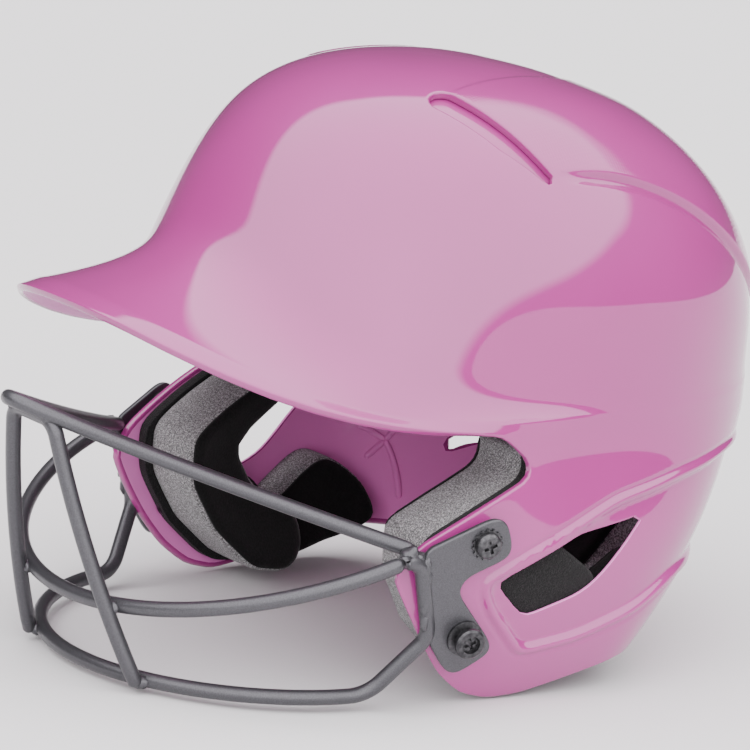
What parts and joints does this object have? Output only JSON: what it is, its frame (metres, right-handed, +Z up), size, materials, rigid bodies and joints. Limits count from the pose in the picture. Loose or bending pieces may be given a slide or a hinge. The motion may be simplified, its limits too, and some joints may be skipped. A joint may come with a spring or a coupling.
{
  "type": "batting helmet with face mask",
  "caption": "Youth batting helmet: glossy moulded shell with brim, ear flaps and ear windows, a bolted wire face mask and foam pads inside.",
  "frame": {"origin": "on the table plane, straight under the dome's upright axis, in the middle of the head opening", "axes": "+Z up through the crown, -Y the way the wearer faces, +X the wearer's left"},
  "size_m": [0.2168, 0.3033, 0.2157],
  "materials": {
    "shell_abs": "high gloss moulded ABS, orchid pink",
    "mask_coat": "satin gunmetal powder coat on steel",
    "stud_steel": "dark coated snap stud",
    "zinc_steel": "dark zinc plate",
    "rubber": "matt black rubber",
    "backing_foam": "dark charcoal closed cell foam",
    "comfort_foam": "speckled grey open cell foam",
    "cover_fabric": "brushed black knit"
  },
  "bodies": {
    "root": {"shell": "shell_abs", "mask_top_bar": "mask_coat", "mask_middle_bar": "mask_coat", "mask_lower_bar": "mask_coat", "mask_centre_post": "mask_coat", "bracket_left": "mask_coat", "bracket_right": "mask_coat", "screw_left": "zinc_steel", "screw_right": "zinc_steel", "tooth_washer_left": "zinc_steel", "tooth_washer_right": "zinc_steel", "strap_stud_left": "stud_steel", "strap_stud_right": "stud_steel", "rubber_washers_left": "rubber", "rubber_washers_right": "rubber", "tee_nuts_left": "zinc_steel", "tee_nuts_right": "zinc_steel", "jaw_backing_left": "backing_foam", "jaw_backing_right": "backing_foam", "jaw_foam_left": "comfort_foam", "jaw_foam_right": "comfort_foam", "jaw_cover_left": "cover_fabric", "jaw_cover_right": "cover_fabric", "side_foam_left": "comfort_foam", "side_foam_right": "comfort_foam", "side_cover_left": "cover_fabric", "side_cover_right": "cover_fabric", "nape_foam": "comfort_foam", "nape_cover": "cover_fabric", "forehead_foam": "comfort_foam", "forehead_cover": "cover_fabric", "crown_foam": "comfort_foam", "crown_cover": "cover_fabric"}
  },
  "joints": []
}
